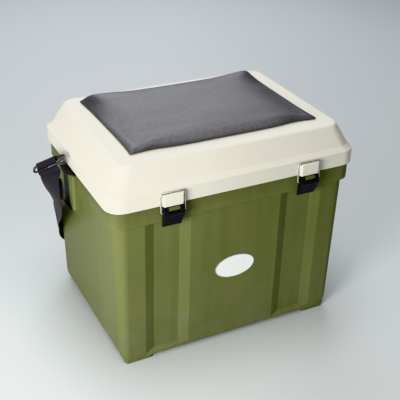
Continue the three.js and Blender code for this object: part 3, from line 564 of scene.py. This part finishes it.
screwSoftness = ("steelWire", 0.3 * mm, 0.3 * mm, 40)
edgeWork = {
    "merge": 0.002 * mm,
    "flat": 1.0,  # degrees under which facets become one face
    "segments": 3,
    "smooth": 34,  # degrees under which faces are shaded as one
}
bodies = frame["record"]["behaviour"]["bodies"]
bodyOf = {node: body for body, members in bodies.items() for node in members}


def softCopy(node, name, lookName, rounding, shortest, sharp):
    piece = bpy.data.objects.new(name, nodes[node].data.copy())
    bpy.context.scene.collection.objects.link(piece)
    pickOnly(piece)
    bpy.ops.object.mode_set(mode="EDIT")
    bpy.ops.mesh.select_all(action="SELECT")
    bpy.ops.mesh.remove_doubles(threshold=edgeWork["merge"])
    bpy.ops.mesh.dissolve_limited(angle_limit=math.radians(edgeWork["flat"]))
    bpy.ops.mesh.select_all(action="DESELECT")
    bpy.ops.mesh.select_mode(type="EDGE")
    shape = bmesh.from_edit_mesh(piece.data)
    for edge in shape.edges:
        turned = edge.calc_face_angle(0) if len(edge.link_faces) == 2 else 0
        edge.select_set(turned > math.radians(sharp) and edge.calc_length() > shortest)
    bmesh.update_edit_mesh(piece.data)
    bpy.ops.mesh.bevel(offset=rounding, segments=edgeWork["segments"], profile=0.5, affect="EDGES",
                       clamp_overlap=True)
    bpy.ops.mesh.select_all(action="SELECT")
    bpy.ops.mesh.normals_make_consistent(inside=False)
    bpy.ops.object.mode_set(mode="OBJECT")
    smoothBy(piece, edgeWork["smooth"])
    # wide faces keep their own direction, so that only the rounded edges turn the light
    bpy.ops.object.modifier_add(type="WEIGHTED_NORMAL")
    piece.modifiers[-1].keep_sharp = True
    bpy.ops.object.modifier_apply(modifier=piece.modifiers[-1].name)
    dress(piece, looks[lookName])
    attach(piece, bodyOf[node])
    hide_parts(node)
    return piece


for node, (name, lookName, rounding, shortest, sharp) in softness.items():
    softCopy(node, name, lookName, rounding, shortest, sharp)
for node in sorted(nodes):
    if "screw" in node:
        first, *others = node.split("_")
        softCopy(node, first + "".join(word.capitalize() for word in others), *screwSoftness)
print("shells, latches and pins made")


# latch wires, bent from one rod each
wireBend = {
    "radius": 1.25 * mm,
    "bend": 4 * mm,
    "turnIn": 2.6 * mm,  # the tighter bend into the lever's cheek
    "tongue": 7 * mm,
    "arcSteps": 8,
}


def buildWire(node, name):
    low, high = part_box(node)
    radius = wireBend["radius"]
    left, right = low.x + radius, high.x - radius
    pivotY, barY = low.y + radius, high.y - radius
    pivotZ, barZ = low.z + radius, high.z - radius
    corners = [Vector(corner) for corner in (
        (left + wireBend["tongue"], pivotY, pivotZ), (left, pivotY, pivotZ), (left, barY, barZ),
        (right, barY, barZ), (right, pivotY, pivotZ), (right - wireBend["tongue"], pivotY, pivotZ))]
    reaches = [wireBend["turnIn"], wireBend["bend"], wireBend["bend"], wireBend["turnIn"]]
    line = [corners[0]]
    for corner, before, after, reach in zip(corners[1:-1], corners, corners[2:], reaches):
        start = corner + (before - corner).normalized() * reach
        end = corner + (after - corner).normalized() * reach
        for k in range(wireBend["arcSteps"] + 1):
            share = k / wireBend["arcSteps"]
            line.append(start * (1 - share) ** 2 + corner * 2 * share * (1 - share) + end * share ** 2)
    line.append(corners[-1])
    curve = bpy.data.curves.new(name, "CURVE")
    curve.dimensions = "3D"
    curve.bevel_depth = radius
    curve.bevel_resolution = 5
    curve.use_fill_caps = True
    spline = curve.splines.new("POLY")
    spline.points.add(len(line) - 1)
    for point, place in zip(spline.points, line):
        point.co = (*place, 1)
    wire = bpy.data.objects.new(name, curve)
    bpy.context.scene.collection.objects.link(wire)
    pickOnly(wire)
    bpy.ops.object.convert(target="MESH")
    wire = bpy.context.object
    wire.name = name
    smoothBy(wire, 50)
    dress(wire, looks["steelWire"])
    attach(wire, bodyOf[node])
    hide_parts(node)


buildWire("bail_left", "latchWireLeft")
buildWire("bail_right", "latchWireRight")
print("latch wires made")


# padded seat: foam and coated cover over the board, swollen by a cloth simulation
seatPad = {
    "cell": 4.2 * mm,
    "sideRows": 3,
    "lip": 2.6 * mm,  # how high the cover stands at its very edge
    "rollFront": 17 * mm,  # how far in the edge keeps rounding over
    "rollSide": (50 * mm, 76 * mm),
    "sideCurve": (1.0, 0.9),  # left and right: under 1 the cover rises sooner
    "frontCurve": 0.7,
    "rollBack": 12 * mm,
    "riseFront": 7.8 * mm,
    "riseBack": 13.4 * mm,
    "dome": 1.8 * mm,
    "ear": (136 * mm, 88 * mm, 42 * mm, 3.0 * mm),  # foam at the rear corners: place, reach, height
    "drawFront": (128 * mm, 30 * mm, 4 * mm),  # where, how wide and how deep the front is drawn in
    "drawBack": 8.8 * mm,
    "backBow": 2.2,  # how evenly the back is drawn in along its length
    "drawSide": 3 * mm,
    "cornerOut": 9 * mm,
    "cornerPoint": 9,  # how near to the corner that starts
    "overBoard": (7 * mm, 4.0 * mm),  # to clear the board: reach in from the edge and least height
    "tuck": 0.9 * mm,
    "pressure": 4.0,
    "frames": 20,
    "cap": 5 * mm,
    "give": 0.35,  # how much of the cloth's move the firm foam follows
    "pleats": (22, 0.35 * mm, 14 * mm, 11 * mm),  # in a full turn, height, distance from corner, spread
    "sags": ((11, 34, 3.1, 0.7 * mm), (30, 60, 7.7, 0.25 * mm)),  # waves a metre each way, start, depth
    "sagFade": 30 * mm,
}


def shapeSeat(pad, low, high):
    halfX, halfY = (high.x - low.x) / 2, (high.y - low.y) / 2
    middle = (low + high) / 2
    rows = seatPad["sideRows"]
    earX, earY, earReach, earHeight = seatPad["ear"]
    drawX, drawReach, drawDepth = seatPad["drawFront"]
    boardReach, boardHeight = seatPad["overBoard"]
    for vertex in pad.data.vertices:
        x, y = vertex.co.x - middle.x, vertex.co.y - middle.y
        level = round((vertex.co.z - low.z) / (1 * mm)) / rows
        sideX, sideY = min(1, abs(x) / halfX), min(1, abs(y) / halfY)
        if y < 0:
            drawn = drawDepth * math.exp(-((abs(x) - drawX) / drawReach) ** 2)
        else:
            drawn = seatPad["drawBack"] * (1 - sideX ** seatPad["backBow"])
            drawn -= seatPad["cornerOut"] * sideX ** seatPad["cornerPoint"]
        pullX = seatPad["drawSide"] * (1 - sideY ** 4) * sideX ** 3
        pullY = drawn * sideY ** 3
        rearShare = (y / halfY + 1) / 2
        rollX = seatPad["rollSide"][x > 0]
        rollX += (seatPad["rollBack"] - rollX) * rearShare ** 5
        rollY = seatPad["rollFront"] if y < 0 else seatPad["rollBack"]
        insideX, insideY = (1 - sideX) * halfX, (1 - sideY) * halfY
        overX = (1 - (1 - min(1, insideX / rollX)) ** 2) ** seatPad["sideCurve"][x > 0]
        overY = (1 - (1 - min(1, insideY / rollY)) ** 2) ** seatPad["frontCurve"]
        rise = seatPad["riseFront"] + (seatPad["riseBack"] - seatPad["riseFront"]) * rearShare
        crown = rise * overX * overY
        crown += seatPad["dome"] * (1 - sideX ** 2) * (1 - sideY ** 2)
        crown = max(crown, boardHeight * min(1, min(insideX, insideY) / boardReach))
        fromEar = ((abs(x) - earX) / earReach) ** 2 + ((y - earY) / earReach) ** 2
        crown += earHeight * math.exp(-fromEar) * overX * overY
        tuck = seatPad["tuck"] * (1 - level) ** 2 if level < 1 else 0
        vertex.co.x = middle.x + x * (1 - (pullX + tuck * (sideX > 0.999)) / halfX)
        vertex.co.y = middle.y + y * (1 - (pullY + tuck * (sideY > 0.999)) / halfY)
        vertex.co.z = low.z + seatPad["lip"] * level + (crown if level >= 1 else 0)


def swellSeat(pad, low):
    # the cover's rim is held, and the foam pushes the rest out
    held = pad.vertex_groups.new(name="held")
    rimTop = low.z + seatPad["lip"] * 1.05
    held.add([vertex.index for vertex in pad.data.vertices if vertex.co.z < rimTop], 1.0, "REPLACE")
    rest = [vertex.co.copy() for vertex in pad.data.vertices]
    cloth = pad.modifiers.new("foam", "CLOTH")
    cloth.settings.quality = 6
    cloth.settings.mass = 0.3
    cloth.settings.use_pressure = True
    cloth.settings.uniform_pressure_force = seatPad["pressure"]
    cloth.settings.tension_stiffness = 25
    cloth.settings.compression_stiffness = 25
    cloth.settings.bending_stiffness = 2.0
    cloth.settings.effector_weights.gravity = 0
    cloth.settings.vertex_group_mass = "held"
    cloth.collision_settings.use_collision = False
    cloth.point_cache.frame_start = 1
    cloth.point_cache.frame_end = seatPad["frames"]
    for step in range(1, seatPad["frames"] + 1):
        bpy.context.scene.frame_set(step)
    applyAll(pad)
    furthest = 0
    for vertex, start in zip(pad.data.vertices, rest):
        move = (vertex.co - start) * seatPad["give"]
        furthest = max(furthest, move.length)
        if move.length > seatPad["cap"]:
            move = move.normalized() * seatPad["cap"]
        vertex.co = start + move
    bpy.context.scene.frame_set(1)
    print("seat swelled by up to", round(furthest / mm, 2), "mm")


def creaseSeat(pad, low, high):
    # small pleats where the cover is gathered round each corner, and slow unevenness in the foam
    pleatCount, pleatHeight, pleatPlace, pleatSpread = seatPad["pleats"]
    for vertex in pad.data.vertices:
        place = vertex.co
        if place.z < low.z + seatPad["lip"] * 0.5:
            continue
        corner = Vector((low.x if place.x < 0 else high.x, low.y if place.y < 0 else high.y, 0))
        away = Vector((place.x, place.y, 0)) - corner
        angle = math.atan2(abs(away.y), abs(away.x))
        fade = math.exp(-((away.length - pleatPlace) / pleatSpread) ** 2)
        pleat = math.cos(angle * pleatCount) * pleatHeight * fade
        sag = sum(noise.noise(Vector((place.x * wavesX, place.y * wavesY, start))) * depth
                  for wavesX, wavesY, start, depth in seatPad["sags"])
        inside = min(high.x - abs(place.x), high.y - abs(place.y))
        place.z += pleat + sag * min(1, max(0, inside) / seatPad["sagFade"])


def buildSeat():
    low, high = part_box("seat_pad")
    columns = round((high.x - low.x) / seatPad["cell"])
    rowsDeep = round((high.y - low.y) / seatPad["cell"])
    pickNothing()
    bpy.ops.mesh.primitive_grid_add(x_subdivisions=columns, y_subdivisions=rowsDeep, size=1,
                                    location=((low.x + high.x) / 2, (low.y + high.y) / 2, low.z))
    pad = bpy.context.object
    pad.name = "seatPad"
    pad.scale = (high.x - low.x, high.y - low.y, 1)
    placeInMesh(pad)
    bpy.ops.object.mode_set(mode="EDIT")
    bpy.ops.mesh.select_all(action="SELECT")
    for row in range(seatPad["sideRows"]):
        bpy.ops.mesh.extrude_region_move(TRANSFORM_OT_translate={"value": (0, 0, 1 * mm)})
    bpy.ops.mesh.select_all(action="SELECT")
    bpy.ops.mesh.normals_make_consistent(inside=False)
    bpy.ops.object.mode_set(mode="OBJECT")
    shapeSeat(pad, low, high)
    swellSeat(pad, low)
    creaseSeat(pad, low, high)
    pad.modifiers.new("fine", "SUBSURF").levels = 1
    pad.modifiers["fine"].render_levels = 1
    applyAll(pad)
    pickOnly(pad)
    bpy.ops.object.shade_smooth()
    dress(pad, looks["vinylGrain"])
    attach(pad, bodyOf["seat_pad"])
    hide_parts("seat_pad")


buildSeat()
print("seat made")


# bare oval label plate on the front wall
label = {
    "centre": (1.6 * mm, 144.8 * mm),
    "wallY": -146.06 * mm,
    "width": 74 * mm,
    "height": 43 * mm,
    "thickness": 0.9 * mm,
    "sunk": 0.3 * mm,
    "rim": 1.6 * mm,
    "rimSlope": 0.35 * mm,
    "rimHeight": 0.25 * mm,
    "faceShare": 0.955,  # inside this share of the oval the pale face starts
    "tilt": 0.44,  # degrees, with the wall's draft
}


def buildLabel():
    pickNothing()
    x, z = label["centre"]
    bpy.ops.mesh.primitive_circle_add(vertices=96, radius=0.5, fill_type="NGON",
                                      rotation=(math.pi / 2, 0, 0),
                                      location=(x, label["wallY"] + label["sunk"], z))
    plate = bpy.context.object
    plate.name = "labelPlate"
    plate.scale = (label["width"], label["height"], 1)
    plate.rotation_euler.x += math.radians(label["tilt"])
    placeInMesh(plate)
    bpy.ops.object.mode_set(mode="EDIT")
    bpy.ops.mesh.select_all(action="SELECT")
    outward = (0, -label["thickness"] - label["sunk"], 0)
    bpy.ops.mesh.extrude_region_move(TRANSFORM_OT_translate={"value": outward})
    bpy.ops.mesh.inset(thickness=label["rimSlope"], depth=label["rimHeight"])
    bpy.ops.mesh.inset(thickness=label["rim"] - 2 * label["rimSlope"])
    bpy.ops.mesh.inset(thickness=label["rimSlope"], depth=-label["rimHeight"])
    bpy.ops.mesh.inset(thickness=0.5 * mm)
    bpy.ops.object.mode_set(mode="OBJECT")
    plate.data.materials.append(looks["labelRim"])
    plate.data.materials.append(looks["labelFace"])
    inner = max(plate.data.polygons, key=lambda face: face.area * (face.normal.y < 0))
    halfWidth, halfHeight = label["width"] / 2, label["height"] / 2
    for face in plate.data.polygons:
        reach = Vector(((face.center.x - x) / halfWidth, (face.center.z - z) / halfHeight)).length
        face.material_index = int(face.index == inner.index or reach < label["faceShare"])
    pickOnly(plate)
    bpy.ops.object.mode_set(mode="EDIT")
    bpy.ops.mesh.select_all(action="SELECT")
    bpy.ops.mesh.normals_make_consistent(inside=False)
    bpy.ops.object.mode_set(mode="OBJECT")
    smoothBy(plate, 40)
    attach(plate, "box")


buildLabel()
print("label plate made")


# floor and soft studio light
studio = {
    "world": ((0.88, 0.93, 1.0), 0.12),
    # name: (place, aimed at, width, height, power, colour)
    "lamps": {
        "leftKey": ((-0.95, -0.68, 0.50), (-0.05, 0, 0.25), 0.45, 0.45, 17.3, (1.0, 0.98, 0.93)),
        "topSoft": ((-0.05, -0.02, 2.6), (0, 0, 0.3), 1.5, 1.5, 37, (1.0, 0.985, 0.95)),
        "frontFill": ((1.0, -2.2, 1.2), (0.05, 0, 0.22), 1.2, 0.9, 3.2, (1.0, 0.97, 0.90)),
        "backSheen": ((0.56, 1.98, 1.9), (0, 0, 0.37), 1.95, 1.9, 41, (0.95, 0.96, 1.0)),
    },
    "floorSize": 60,
}


def buildStudio():
    scene = bpy.context.scene
    pickNothing()
    bpy.ops.mesh.primitive_plane_add(size=studio["floorSize"])
    floor = bpy.context.object
    floor.name = "floor"
    dress(floor, looks["paleFloor"])
    world = bpy.data.worlds.new("studio")
    world.use_nodes = True
    colour, strength = studio["world"]
    backdrop = world.node_tree.nodes["Background"]
    backdrop.inputs["Color"].default_value = rgb(*colour)
    backdrop.inputs["Strength"].default_value = strength
    scene.world = world
    for name, (place, aim, width, height, power, tint) in studio["lamps"].items():
        data = bpy.data.lights.new(name, "AREA")
        data.shape = "RECTANGLE"
        data.size, data.size_y = width, height
        data.energy = power
        data.color = tint
        lamp = bpy.data.objects.new(name, data)
        lamp.visible_camera = False
        scene.collection.objects.link(lamp)
        turn = (Vector(aim) - Vector(place)).to_track_quat("-Z", "Y")
        lamp.matrix_world = Matrix.Translation(place) @ turn.to_matrix().to_4x4()
    scene.view_settings.view_transform = "Khronos PBR Neutral"


buildStudio()
print("floor and lights placed")

pickNothing()
bpy.context.view_layer.update()
